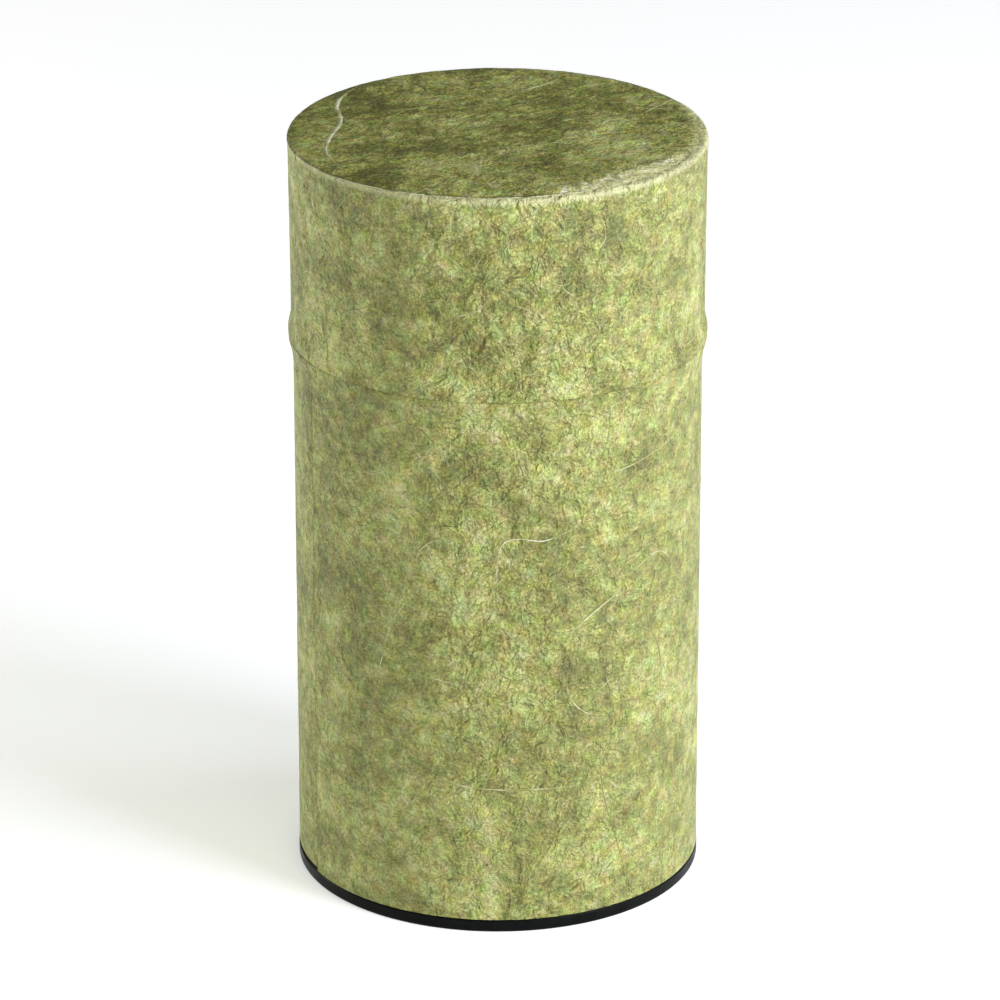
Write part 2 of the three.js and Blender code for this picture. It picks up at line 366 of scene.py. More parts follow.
def washi(name, shift, contrast=1.0, gloss=0.6, edge=None):
    """Mulberry paper: a mottled felt of olive, straw and brown fibres, with darker and paler threads.
    edge may be a function of the graph and the colour that paints highlight and shadow onto the paper along a
    cut or fold."""
    g = Graph(name)
    sheet = g.sheet(shift)
    curled = g.bent(sheet, 9.0, 1.5)
    pale, deep = 0.0, 1.0
    for turn, length, width in FELTED:
        field = g.streaks(curled, turn, length, width)
        pale = g.math("MAXIMUM", pale, field)
        deep = g.math("MINIMUM", deep, field)
    pale = g.span(pale, 0.70, 0.88)
    deep = g.span(deep, 0.36, 0.20)

    clouds = g.noise(sheet, 26, 2, 0.5, 0.5, flat=True)
    blotches = g.noise(sheet, 8.5, 3, 0.6, 0.3, flat=True)
    lumps = g.noise(sheet, 2.4, 3, 0.7, 0.2, flat=True)
    grain = g.noise(sheet, 0.62, 2, 0.8, flat=True)
    light = 0.52
    for field, weight in ((clouds, 0.75), (blotches, 0.95), (lumps, 0.95), (grain, 1.10)):
        around_middle = g.math("SUBTRACT", field, 0.5)
        light = g.math("MULTIPLY_ADD", around_middle, weight * contrast, light)
    colour = g.ramp(light, [
        (0.10, (0.100, 0.103, 0.012)),
        (0.36, (0.188, 0.198, 0.033)),
        (0.54, (0.280, 0.294, 0.062)),
        (0.90, (0.495, 0.517, 0.185)),
    ])
    hues = g.tint(g.sheet((shift[0] + 91, shift[1] + 17)), 3.0, (0.25, 0.25, 0.60))
    colour = g.mix(1.0, colour, hues, "MULTIPLY")
    knots = g.span(g.noise(curled, 1.7, 2, 0.6, 0.2, flat=True), 0.70, 0.80)
    deep = g.math("MAXIMUM", g.math("MULTIPLY", deep, 0.30), g.math("MULTIPLY", knots, 0.45))
    colour = g.mix(deep, colour, (0.075, 0.066, 0.016, 1))
    colour = g.mix(g.math("MULTIPLY", pale, 0.26), colour, (0.480, 0.480, 0.225, 1))
    line = g.threads(sheet, 6.0, 0.010, 1.0, 5.0, 0.56)
    colour = g.mix(g.math("MULTIPLY", line, 0.25), colour, (0.070, 0.068, 0.020, 1))

    crinkle = g.noise(g.bent(sheet, 6.0, 1.6), 5.5, 3, 0.62, 0.2, flat=True)
    relief = g.math("MULTIPLY_ADD", lumps, 0.75, g.math("MULTIPLY", grain, 0.35))
    relief = g.math("MULTIPLY_ADD", pale, 0.35, relief)
    relief = g.math("MULTIPLY_ADD", deep, -0.3, relief)
    folds = g.bump(crinkle, 2.6, 1.0)
    if edge:
        colour = edge(g, colour)
    g.set(Base_Color=colour, Normal=g.bump(relief, 0.62, 1.0, folds))
    g.set(Roughness=g.span(lumps, 0.3, 0.7, 0.62, 0.50), Specular_IOR_Level=gloss)
    return g.material


def corner_highlight(g, colour):
    """The side paper's turned-in margin is painted pale over the corner, as a painted highlight."""
    parts = g.tree.nodes.new("ShaderNodeSeparateXYZ")
    g.put(parts.inputs["Vector"], g.sheet())
    # painted highlight: the paper is made paler over the corner, where it faces up, away from the lamps
    rubbed = g.span(parts.outputs["Y"], CORNER_Z - 0.7, CORNER_Z + 0.5, 0.0, 0.55)
    return g.mix(rubbed, colour, (0.62, 0.61, 0.34, 1))


def disc_rim(g, colour):
    """The disc has a painted shadow line inside its cut edge, whose pale core shows. At the right of the
    front a painted highlight makes it pale with whiter spots, and paler still where the edge is worn flush."""
    from_centre = g.tree.nodes.new("ShaderNodeVectorMath")
    from_centre.operation = "LENGTH"
    g.put(from_centre.inputs[0], g.sheet((-DISC_SHIFT[0], -DISC_SHIFT[1])))
    out = from_centre.outputs["Value"]
    core = g.span(g.noise(g.sheet(), 7.0, 2, 0.6, flat=True), 0.38, 0.60, 0.15, 0.9)

    # painted highlight: a pale band with whiter spots along the disc's edge at the right of the front, where
    # the lamps fall on the rounded rim
    rough_edge = g.noise(g.sheet(), 4.0, 3, 0.65, flat=True)
    ragged = g.math("MULTIPLY_ADD", rough_edge, 4.0, g.reach(HIGHLIGHT_SIDE))
    highlight_band = g.span(ragged, HIGHLIGHT_FROM + 0.8, HIGHLIGHT_FROM + 3.4)
    colour = g.mix(g.math("MULTIPLY", highlight_band, 0.66), colour, (0.72, 0.71, 0.34, 1))
    spots = g.span(g.noise(g.sheet(), 2.0, 3, 0.75, flat=True), 0.50, 0.64)
    colour = g.mix(g.math("MULTIPLY", highlight_band, spots), colour, (0.90, 0.87, 0.64, 1))

    # paler painted highlight near the edge where it lies worn flush, blending it into the lit corner
    worn = g.span(g.reach(WORN_SIDE), WORN_FROM - 4, WORN_FROM + 4)
    edge_highlight = g.math("MULTIPLY", g.span(out, DISC_RADIUS - 3.0, DISC_RADIUS), g.math("MULTIPLY", worn, 0.6))
    colour = g.mix(edge_highlight, colour, (0.52, 0.53, 0.24, 1))

    kept = g.math("SUBTRACT", 1.0, worn)
    # painted shadow line just inside the disc's cut edge, left off where the edge is worn flush
    shadow_line = g.math("MULTIPLY", g.span(out, DISC_RADIUS - 0.75, DISC_RADIUS - 0.2, 0.0, 0.55), kept)
    colour = g.mix(shadow_line, colour, (0.070, 0.068, 0.018, 1))
    edge = g.math("MULTIPLY", g.span(out, DISC_RADIUS - 0.13, DISC_RADIUS - 0.08), core)
    edge = g.math("MULTIPLY", edge, kept)
    return g.mix(edge, colour, (0.68, 0.67, 0.46, 1))


def strand_material(name, gloss):
    """Loose mulberry fibres pressed into the paper. Each one carries its own tint."""
    g = Graph(name)
    tint = g.tree.nodes.new("ShaderNodeVertexColor")
    tint.layer_name = "Tint"
    place = g.millimetres()
    streak = g.noise(place, 0.6, 3, 0.7)
    colour = g.mix(g.span(streak, 0.42, 0.66, 0.0, 0.7), tint.outputs["Color"], (0.24, 0.25, 0.075, 1))
    g.set(Base_Color=colour, Roughness=g.span(streak, 0.3, 0.7, gloss - 0.08, gloss + 0.08))
    g.set(Normal=g.bump(streak, 0.03, 0.6))
    return g.material


def tinplate(name, base=0.62, rough=0.27):
    """Bright rolled tinplate: fine lines round the can and faint handling haze."""
    g = Graph(name)
    lines = g.noise(g.millimetres(stretch=(0.02, 0.02, 6)), 1.0, 3, 0.6)
    haze = g.noise(g.millimetres(), 9, 3, 0.55)
    dull = (base * 0.93, base * 0.93, base * 0.91)
    colour = g.ramp(haze, [(0.3, dull), (0.7, (base, base, base * 0.985))])
    level = g.math("MULTIPLY_ADD", haze, 0.10, rough - 0.05)
    g.set(Base_Color=colour, Metallic=1.0)
    g.set(Roughness=g.math("MULTIPLY_ADD", lines, 0.08, level), Normal=g.bump(lines, 0.004, 0.5))
    return g.material


def lacquer(name):
    """Satin black lacquer with a trace of orange peel and rubbed spots."""
    g = Graph(name)
    peel = g.noise(g.millimetres(), 1.1, 2, 0.5)
    rub = g.noise(g.millimetres((5, 5, 5)), 4.5, 3, 0.6)
    colour = g.ramp(rub, [(0.35, (0.0020, 0.0026, 0.0022)), (0.75, (0.005, 0.006, 0.005))])
    g.set(Base_Color=colour, Roughness=g.span(rub, 0.35, 0.75, 0.30, 0.46))
    g.set(Normal=g.bump(peel, 0.010, 0.5), Specular_IOR_Level=0.06)
    return g.material


WASHI_CAN = washi("washi_can", (0, 0), contrast=0.82)
WASHI_LID = washi("washi_lid", (410, 160), contrast=0.92, edge=corner_highlight)
WASHI_TOP = washi("washi_top", (-330, 595), contrast=1.2, gloss=0.4, edge=disc_rim)
STRANDS = strand_material("washi_strands", 0.5)
TINPLATE = tinplate("tinplate")
KNOB_TIN = tinplate("knob_tin", 0.66, 0.20)
STEEL = tinplate("rivet_steel", 0.55, 0.34)
LACQUER = lacquer("black_lacquer")


# ---- The can's tin ----

LAP_HALF = math.degrees(2.0 / CAN_INNER)  # half the width of the lap of the wall's edges, in degrees
LAP_EDGES = [s * (180 - LAP_HALF * k) for s in (-1, 1) for k in (0.97, 1.0, 1.03)]


def can_wall():
    """The wall: its seam hook, swelling and ledge, neck and rolled rim, with the lap at the back."""
    curl, curl_z = 0.6, NECK_TOP - 0.6
    centre = CAN_OUTER - curl
    swell = smooth_line([
        (CAN_OUTER, 108.4), (41.0, 110.4), (41.3, 111.9), (41.64, 113.0), (41.72, LEDGE - 0.18),
    ], 5)
    inside = smooth_line([
        (41.42, LEDGE - TIN - 0.12), (41.36, 112.95), (41.05, 112.0), (40.76, 110.5), (CAN_INNER, 108.4),
    ], 5)
    outline = [
        (40.61, 0.3), (40.86, 0.55), (40.86, 2.2), (40.63, 2.2), (40.63, 0.65), (40.56, 0.55),
        (HOOK_WALL, 0.65), (HOOK_WALL, RING_HEIGHT + 0.05), (HOOK_WALL + 0.12, RING_HEIGHT + 0.28),
        (CAN_OUTER - 0.12, RING_HEIGHT + 0.6), (CAN_OUTER, RING_HEIGHT + 0.9),
        (CAN_OUTER, 40.0), (CAN_OUTER, 75.0),
        *map(tuple, swell), (41.66, LEDGE - 0.05), (41.55, LEDGE), (CAN_OUTER + 0.1, LEDGE),
        (CAN_OUTER, LEDGE + 0.1), (CAN_OUTER, 128.0),
        *arc(centre, curl_z, curl, 0, 205, 18),
        *arc(centre, curl_z, curl - TIN, 205, 0, 12),
        (CAN_INNER, 128.0), (CAN_INNER, LEDGE - TIN + 0.02), (CAN_INNER + 0.08, LEDGE - TIN),
        (41.34, LEDGE - TIN), *map(tuple, inside), (CAN_INNER, 75.0), (CAN_INNER, 40.0),
        (CAN_INNER, RING_HEIGHT + 1.0), (HOOK_WALL - TIN, RING_HEIGHT + 0.15),
        (HOOK_WALL - TIN, 0.45), (HOOK_WALL, 0.3),
    ]

    def lap(r, z, angle):
        back = np.abs(180 - np.abs(np.degrees(angle))) <= LAP_HALF * 1.001
        wall = (np.abs(r - CAN_INNER) < 0.01) & (z > RING_HEIGHT + 1.2) & (z < NECK_TOP - 1.4)
        return r - 0.2 * (back & wall), z

    thing = revolve("can_tin", outline, around(LAP_EDGES), lap)
    finish_piece(thing, "can", "can_wall", "tinplate", TINPLATE, LACQUER)
    paint_faces(thing, 1, lambda c, n: c.z < RING_HEIGHT + 3 and math.hypot(c.x, c.y) > CAN_INNER + 0.1)


def can_bottom():
    """The end panel and, round it, the double seam that is the black standing ring."""
    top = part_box("can_bottom")[1].z / MM
    outline = [
        (0, top - TIN), (18.0, top - TIN),
        (19.0, top - TIN - 0.22), (20.2, top - TIN - 0.22), (21.2, top - TIN),
        (39.2, top - TIN), *arc(39.2, top - TIN - 0.5, 0.5, 80, 10, 5), (39.78, 0.4),
        *arc(40.2, 0.42, 0.42, 190, 262, 5), (40.2, 0), (40.7, 0), *arc(40.62, 0.48, 0.48, -84, -6, 6),
        (RING_RADIUS, 0.6), (RING_RADIUS, RING_HEIGHT - 0.42),
        *arc(RING_RADIUS - 0.36, RING_HEIGHT - 0.36, 0.36, 0, 170, 8),
        (40.38, RING_HEIGHT - 0.45), (40.38, 0.85), (40.6, 0.85),
        (40.6, RING_HEIGHT - 0.55), (40.89, RING_HEIGHT - 0.55),
        (40.89, 0.42), (40.7, 0.22), (40.25, 0.22), (40.06, 0.38), (40.0, top - 0.6),
        (39.86, top - 0.15), (39.6, top), (21.4, top), (20.3, top - 0.22),
        (18.9, top - 0.22), (17.8, top), (0, top),
    ]
    thing = revolve("foot_end", outline)
    finish_piece(thing, "can", "can_bottom", "black_lacquer", LACQUER, TINPLATE)
    paint_faces(thing, 1, lambda c, n: c.z > top - 0.5 and n.z > 0.3 and math.hypot(c.x, c.y) < 40)


# ---- The inner lid ----

def inner_lid():
    """A flange on the rim, a skirt in the neck and a sunk plate with two pressed beads."""
    low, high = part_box("inner_lid_pan")
    foot, flange = low.z / MM, high.z / MM
    plug = 39.45  # radius of the skirt
    plate = 143.75  # height of the sunk plate
    hole = 1.75  # for the rivet
    outline = [
        (hole, plate - TIN), (10.0, plate - TIN),
        (10.7, plate - TIN + 0.3), (12.3, plate - TIN + 0.3), (13.0, plate - TIN),
        (27.0, plate - TIN), (27.8, plate - TIN + 0.35), (29.2, plate - TIN + 0.35), (30.0, plate - TIN),
        (38.7, plate - TIN), *arc(38.7, plate - TIN - 0.5, 0.5, 80, 0, 4),
        (plug - TIN, foot + 1.1), (plug - 0.5, foot + 0.12),
        *arc(plug - 0.36, foot + 0.12, 0.13, 190, 350, 5),
        (plug, foot + 1.0), (plug, 140.0), (plug, flange - 0.62), (plug + 0.1, flange - 0.5),
        *arc(40.5, flange - 0.25, 0.25, -90, 90, 10),
        *arc(39.2, flange - 0.4, 0.4, 90, 180, 6), (38.8, plate + 0.3), (38.72, plate + 0.1), (38.5, plate),
        (30.2, plate), (29.3, plate + 0.35), (27.7, plate + 0.35), (26.8, plate),
        (13.2, plate), (12.4, plate + 0.3), (10.6, plate + 0.3), (9.8, plate), (hole, plate),
    ]
    thing = revolve("inner_lid_tin", outline, sharp=50)
    finish_piece(thing, "inner_lid", "inner_lid_pan", "tinplate", TINPLATE)


def knob():
    low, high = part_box("inner_lid_knob")
    foot, top = low.z / MM, high.z / MM
    side = smooth_line([
        (5.4, foot + 0.35), (4.5, foot + 0.95), (3.6, foot + 1.9),
        (3.3, foot + 3.1), (3.8, foot + 4.3), (5.3, foot + 5.1),
        (6.9, foot + 5.7), (7.55, foot + 6.7), (7.2, foot + 7.8),
        (6.0, top - 1.1), (4.2, top - 0.4), (2.2, top - 0.07), (0.01, top),
    ], 5)
    bore, bore_top = 1.55, foot + 5.3
    outline = [
        (0, bore_top), (bore, bore_top), (bore, foot), (5.2, foot), (5.38, foot + 0.15),
        *map(tuple, side[:-1]), (0, top),
    ]
    thing = revolve("knob_tin_shell", outline, around(sides=128), sharp=50)
    finish_piece(thing, "inner_lid", "inner_lid_knob", "tinplate", KNOB_TIN)


def rivet():
    low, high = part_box("knob_rivet")
    under, top = low.z / MM, high.z / MM
    head = under + 0.75
    outline = [
        (0, under), *arc(2.2, head, 0.75, -88, -55, 4),
        (2.95, head - 0.38), (3.14, head - 0.18), (3.2, head - 0.03),
        (3.17, head), (1.5, head), (1.5, top - 0.3), (1.2, top), (0, top),
    ]
    thing = revolve("rivet", outline, around(sides=96), sharp=40)
    finish_piece(thing, "inner_lid", "knob_rivet", "rivet_steel", STEEL)


def washer():
    low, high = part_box("knob_washer")
    under, top = low.z / MM, high.z / MM
    outline = [
        (1.75, under + 0.05), (1.8, under), (4.5, under), (4.6, under + 0.08),
        (4.6, top - 0.04), (4.55, top), (1.8, top), (1.75, top - 0.05),
    ]
    thing = revolve("washer", outline, around(sides=96))
    finish_piece(thing, "inner_lid", "knob_washer", "rivet_steel", STEEL)


# ---- The outer lid's tin ----

def lid_shell():
    """The drawn shell, whose foot flares out over the can's ledge."""
    flare_in = smooth_line([
        (LID_INNER, 118.6), (41.07, 117.9), (41.24, 117.1), (41.41, 116.2), (41.50, 115.4), (41.45, 114.8),
    ], 4)
    flare_out = smooth_line([
        (41.64, 114.4), (41.73, 114.8), (41.77, 115.3), (41.66, 116.2),
        (41.48, 117.05), (41.31, 117.8), (LID_OUTER, 118.6),
    ], 4)
    slope = 90 - CROWN_TURN
    outline = [
        (0, LID_TIN_TOP - TIN), (20.0, LID_TIN_TOP - TIN),
        *arc(CROWN_R, CROWN_Z, CROWN - TIN, 90, slope, 5),
        *arc(CORNER_R, CORNER_Z, CORNER - TIN, slope, 0, 6)[1:],
        (LID_INNER + LID_TAPER, 151.5), (LID_INNER + 0.09, 135.0), *map(tuple, flare_in),
        *arc(41.49, LID_FOOT + 0.125, 0.125, 180, 360, 6), *map(tuple, flare_out),
        (LID_OUTER + 0.09, 135.0), (LID_OUTER + LID_TAPER, 151.5),
        *arc(CORNER_R, CORNER_Z, CORNER, 0, slope, 8), *arc(CROWN_R, CROWN_Z, CROWN, slope, 90, 6)[1:],
        (20.0, LID_TIN_TOP), (0, LID_TIN_TOP),
    ]
    thing = revolve("lid_tin", outline, around(LAP_EDGES))
    finish_piece(thing, "outer_lid", "lid_shell", "tinplate", TINPLATE)


# ---- The papers' surfaces ----

CAN_EDGE = -64.0  # where the can's paper ends on top of its own beginning, in degrees from the front
LID_EDGE = 118.0
OVERLAP = 6.0  # mm
JOG = 0.9  # mm by which the overlapping end hangs short of the ring
JOG_FADES = 55  # degrees over which it comes back down
TURNED_IN = 1000.0  # marks a row of the lid's side paper that lies past the top of the wall


def unevenness(x, y, z):
    """How far glued paper stands off its nominal surface at a point, in mm: cockle and felt."""
    wide = noise.noise(Vector((x / 13, y / 13, z / 17)))
    near = noise.noise(Vector((x / 3.6 + 40, y / 3.6, z / 3.6)))
    return 0.045 * wide + 0.030 * near


def doubled(angle_deg, edge):
    """Extra thickness where the paper overlaps, to the left of its free edge."""
    behind = (edge - angle_deg) % 360 * math.pi / 180 * BODY_RADIUS
    if behind > OVERLAP + 0.8:
        return 0.0
    return 0.06 * min(1.0, (OVERLAP + 0.8 - behind) / 0.8)


CAN_CURVE = smooth_line(CAN_SWELL, 6)
LID_CURVE = smooth_line(LID_SWELL, 6)


def can_skin(angle_deg, z, high_side=True):
    swell = float(np.interp(z, CAN_CURVE[:, 0], CAN_CURVE[:, 1]))
    a = math.radians(angle_deg)
    r = BODY_RADIUS + swell
    r += unevenness(r * math.sin(a), -r * math.cos(a), z)
    return r + (doubled(angle_deg, CAN_EDGE) if high_side else 0.0)


def lid_skin(angle_deg, z, high_side=True):
    wall = LID_OUTER + PAPER + GLUE + LID_TAPER * min(1.0, max(0.0, (z - 118.4) / 33))
    wall += SHOULDER * min(1.0, max(0.0, (z - 151.5) / 2.8))
    swell = float(np.interp(z, LID_CURVE[:, 0], LID_CURVE[:, 1]))
    a = math.radians(angle_deg)
    r = wall + swell
    r += unevenness(r * math.sin(a) + 90, -r * math.cos(a), z)
    return r + (doubled(angle_deg, LID_EDGE) if high_side else 0.0)


def over_corner(s, offset):
    """(r, z) at s mm from the axis, offset mm above the tin: s runs along the lid's face over its corner."""
    turn = math.radians(CROWN_TURN)
    if s < CROWN_R:
        return s, LID_TIN_TOP + offset
    s -= CROWN_R
    if s < CROWN_LENGTH:
        a = turn * s / CROWN_LENGTH
        return CROWN_R + (CROWN + offset) * math.sin(a), CROWN_Z + (CROWN + offset) * math.cos(a)
    s -= CROWN_LENGTH
    if s < CORNER_LENGTH:
        a = turn + (math.pi / 2 - turn) * s / CORNER_LENGTH
        return CORNER_R + (CORNER + offset) * math.sin(a), CORNER_Z + (CORNER + offset) * math.cos(a)
    return CORNER_R + CORNER + offset, CORNER_Z - (s - CORNER_LENGTH)


def easing(value, low, high):
    t = min(1.0, max(0.0, (value - low) / (high - low)))
    return t * t * (3 - 2 * t)


def disc_lift(x, y):
    """How far the disc's outer face stands off the tin: it steps up onto the margin and its pleats."""
    s = math.hypot(x, y)
    turn = math.atan2(y, x)
    margin = easing(s, MARGIN - 0.3, MARGIN + 0.8)
    pleats = noise.noise(Vector((turn * 15, s / 3.2, 7))) + 0.5 * noise.noise(Vector((turn * 34, s / 2, 3)))
    side = easing(x * math.sin(WORN_SIDE) - y * math.cos(WORN_SIDE), WORN_FROM - 4, WORN_FROM + 4)
    worn = side * easing(math.hypot(x - DISC_SHIFT[0], y - DISC_SHIFT[1]), DISC_RADIUS - 1.6, DISC_RADIUS)
    step = (PAPER - 0.03 + 0.07 * pleats) * (1 - worn) + 0.02 * worn
    return GLUE + PAPER + margin * step + 0.8 * unevenness(x, y, 300) * (1 - worn)


def on_disc(x, y, height=0.0):
    """The point of the disc's outer face over (x, y) of the flat paper, raised by height."""
    s = math.hypot(x, y)
    r, z = over_corner(s, disc_lift(x, y) + height)
    return (r * x / s, r * y / s, z) if s else (0, 0, z)


def drawn_in(from_edge):
    """How far a paper's face curves in at its cut edge, in mm."""
    return 0.06 * max(0.0, 1 - from_edge / 0.12) ** 2


def paper_columns(edge, sides=560):
    """Angles in degrees for a papered side, with a doubled column at the free edge."""
    even = [edge + 360 * i / sides for i in range(1, sides)]
    behind = [edge + 360 - math.degrees(s / BODY_RADIUS) for s in (OVERLAP + 0.8, OVERLAP, 0.5, 0.1)]
    return [edge] + sorted(even + behind) + [edge + 360]


def lay_flat(thing, on_sheet):
    """Records where each corner lies on the flat sheet, in mm, for the paper's material."""
    layer = thing.data.uv_layers.new(name="Sheet")
    for face in thing.data.polygons:
        for loop in face.loop_indices:
            layer.data[loop].uv = on_sheet(thing.data.loops[loop].vertex_index, face)


def papered_side(name, columns, levels, skin, inner, foot):
    """A sheet wrapped round the caddy: its outer face follows skin, its inner face the tin, and foot
    gives its lower edge. A level is a height, or TURNED_IN plus the mm past the top of the wall."""
    m = len(columns)
    vertices = []
    rows = []
    for n, level in enumerate(levels):
        rows.append(len(vertices))
        for j, angle in enumerate(columns):
            r, z = skin(angle, level, j > 0)
            z = max(z, foot(angle, j > 0) + 0.01 * n)
            a = math.radians(angle)
            vertices.append((r * math.sin(a), -r * math.cos(a), z))
    for r, z in inner:
        rows.append(len(vertices))
        for j, angle in enumerate(columns):
            a = math.radians(angle)
            level = foot(angle, j > 0) if (r, z) == inner[-1] else z
            vertices.append((r * math.sin(a), -r * math.cos(a), level))
    faces = []
    for i, low in enumerate(rows):
        high = rows[(i + 1) % len(rows)]
        for j in range(m):
            k = (j + 1) % m
            faces.append((low + j, low + k, high + k, high + j))
    thing = mesh_object(name, vertices, faces, 40)
    spread = [math.radians(a) * BODY_RADIUS for a in columns]

    def on_sheet(vertex, face):
        column = vertex % m
        wraps = column == 0 and any(v % m == m - 1 for v in face.vertices)
        row = vertex // m
        up = vertices[vertex][2]
        if row < len(levels) and levels[row] > TURNED_IN:
            up = levels[row] - TURNED_IN + CORNER_Z
        return spread[-1 if wraps else column], up

    lay_flat(thing, on_sheet)
    return thing


def can_paper():
    low, high = RING_HEIGHT + 0.05, SEAM - OPEN_LINE / 2
    levels = [low, low + 0.04, low + 0.12]
    levels += [*np.linspace(low + 0.6, 108.4, 118), *np.linspace(108.9, high - 0.13, 14), high - 0.05, high]

    def skin(angle, level, high_side):
        return can_skin(angle, level, high_side) - drawn_in(min(level - low, high - level)), level

    def foot(angle, high_side):
        behind = (CAN_EDGE - angle) % 360
        if not high_side or behind > JOG_FADES:
            return low
        return low + JOG * (1 - behind / JOG_FADES)

    face = CAN_OUTER + GLUE
    inner = [(41.72 + GLUE, high), (41.68, 113.2), (41.33, 112.0), (41.02, 110.5), (face, 108.4), (face, low)]
    thing = papered_side("washi_can_wrap", paper_columns(CAN_EDGE), levels, skin, inner, foot)
    finish_piece(thing, "can", "can_paper", "green_washi", WASHI_CAN)


def lid_side_paper():
    low = SEAM + OPEN_LINE / 2
    levels = [low, low + 0.04, low + 0.12]
    levels += [*np.linspace(low + 0.5, 119.2, 12), *np.linspace(120, CORNER_Z, 50)]
    levels += [TURNED_IN + t for t in (*np.linspace(0.2, 1.6, 8), *np.linspace(2.0, 41.2 - MARGIN, 6))]

    def skin(angle, level, high_side):
        if level <= CORNER_Z:
            return lid_skin(angle, level, high_side) - drawn_in(level - low), level
        stand = lid_skin(angle, CORNER_Z, high_side) - CORNER_R - CORNER
        gone = level - TURNED_IN
        under_disc = easing(gone, 0.8, 1.8)
        top_of_wall = CROWN_R + CROWN_LENGTH + CORNER_LENGTH
        return over_corner(top_of_wall - gone, stand + (PAPER + GLUE - stand) * under_disc)

    slope = 90 - CROWN_TURN
    inner = [over_corner(MARGIN, GLUE)] + arc(CROWN_R, CROWN_Z, CROWN + GLUE, 87, slope, 4)
    inner += arc(CORNER_R, CORNER_Z, CORNER + GLUE, slope, 0, 6)[1:]
    inner += [(LID_OUTER + LID_TAPER + GLUE, 151.5), (LID_OUTER + GLUE, 118.6), (41.51, 117.05)]
    inner += [(41.69, 116.2), (41.81, 115.25), (41.77, 114.8), (41.64, low)]
    thing = papered_side("washi_lid_wrap", paper_columns(LID_EDGE), levels, skin, inner, lambda *_: low)
    finish_piece(thing, "outer_lid", "lid_side_paper", "green_washi", WASHI_LID)


def lid_top_paper():
    """A disc pressed down over the lid's corner. Its rings are centred on the disc, not on the axis."""
    rings = [*np.linspace(1.2, DISC_RADIUS - 0.6, 52), *(DISC_RADIUS - np.array([0.35, 0.18, 0.07, 0.0]))]
    sides = 420
    turns = np.linspace(0, 2 * math.pi, sides, endpoint=False)
    left, back = DISC_SHIFT
    flat = [DISC_SHIFT] + [(left + r * math.cos(a), back + r * math.sin(a)) for r in rings for a in turns]

    def under(x, y):
        s = math.hypot(x, y)
        on_margin = easing(s, MARGIN - 0.3, MARGIN + 0.8) * (PAPER + GLUE)
        r, z = over_corner(s, GLUE + on_margin)
        return r * x / s, r * y / s, z

    vertices = [on_disc(x, y) for x, y in flat]
    first_under = len(vertices)
    vertices += [under(x, y) for x, y in flat]
    faces = []
    for j in range(sides):
        k = (j + 1) % sides
        faces.append((0, 1 + j, 1 + k))
        faces.append((first_under, first_under + 1 + k, first_under + 1 + j))
        for i in range(len(rings) - 1):
            a, b = 1 + i * sides, 1 + (i + 1) * sides
            faces.append((a + j, b + j, b + k, a + k))
            faces.append(tuple(first_under + v for v in (a + j, a + k, b + k, b + j)))
        edge = 1 + (len(rings) - 1) * sides
        faces.append((edge + j, first_under + edge + j, first_under + edge + k, edge + k))
    thing = mesh_object("washi_top_disc", vertices, faces, 40)
    lay_flat(thing, lambda v, face: flat[v % first_under])
    finish_piece(thing, "outer_lid", "lid_top_paper", "green_washi", WASHI_TOP)


# ---- Fibres pressed into the papers ----

FELT = (0.235, 0.240, 0.060)  # what a buried stretch of fibre looks like: the paper's own colour
PALE = (0.56, 0.56, 0.34)
WHITE = (0.78, 0.78, 0.62)
STRAW = (0.42, 0.40, 0.17)
OLIVE = (0.095, 0.090, 0.020)
GREEN = (0.100, 0.130, 0.040)
BROWN = (0.145, 0.105, 0.030)
CURL = 0.16  # how fast a loose fibre's direction drifts, in radians per mm


class Strands:
    """Many fibres in one mesh: each is a flat three-sided strip with pointed ends."""

    def __init__(self, place):
        self.place = place  # from (u, v, height) on the flat sheet to a point in mm
        self.vertices = []
        self.faces = []
        self.tints = []

    def add(self, path, width, height, tint, clear=0.55):
        """path is a list of (u, v) in mm on the flat sheet. clear is how far it lies above the felt."""
        path = np.asarray(path, float)
        n = len(path)
        ahead = np.gradient(path, axis=0)
        ahead /= np.linalg.norm(ahead, axis=1)[:, None] + 1e-9
        side = np.stack([-ahead[:, 1], ahead[:, 0]], 1)
        first = len(self.vertices)
        self.vertices.append(self.place(*path[0], 0.0))
        self.tints.append(FELT)
        for i in range(1, n - 1):
            t = i / (n - 1)
            swell = min(1.0, 4 * t, 4 * (1 - t)) ** 0.6
            wander = noise.noise(Vector((path[i][0] * 0.45, path[i][1] * 0.45, width * 90)))
            shows = swell * min(1.0, max(0.1, clear + 1.5 * wander))
            middle = [f + shows * (c - f) for f, c in zip(FELT, tint)]
            side_tint = [f + 0.35 * shows * (c - f) for f, c in zip(FELT, tint)]
            self.tints += [side_tint, middle, side_tint]
            thin = noise.noise(Vector((path[i][0] * 0.9, path[i][1] * 0.9, width * 50)))
            half = width / 2 * swell * (0.85 + 0.3 * thin)
            left, right = path[i] + side[i] * half, path[i] - side[i] * half
            self.vertices.append(self.place(*left, -0.012))
            self.vertices.append(self.place(*path[i], height * swell))
            self.vertices.append(self.place(*right, -0.012))
        self.vertices.append(self.place(*path[-1], 0.0))
        self.tints.append(FELT)
        last = len(self.vertices) - 1
        a = first + 1
        self.faces += [(first, a + 1, a), (first, a + 2, a + 1), (first, a, a + 2)]
        for i in range(n - 3):
            b = a + 3
            for p, q in ((0, 1), (1, 2), (2, 0)):
                self.faces.append((a + p, a + q, b + q, b + p))
            a = b
        self.faces += [(last, a, a + 1), (last, a + 1, a + 2), (last, a + 2, a)]

    def build(self, name, body):
        thing = mesh_object(name, self.vertices, self.faces, 180)
        colours = thing.data.color_attributes.new("Tint", "FLOAT_COLOR", "POINT")
        colours.data.foreach_set("color", np.array([(*t, 1) for t in self.tints], np.float32).ravel())
        finish_piece(thing, body, None, "green_washi", STRANDS)


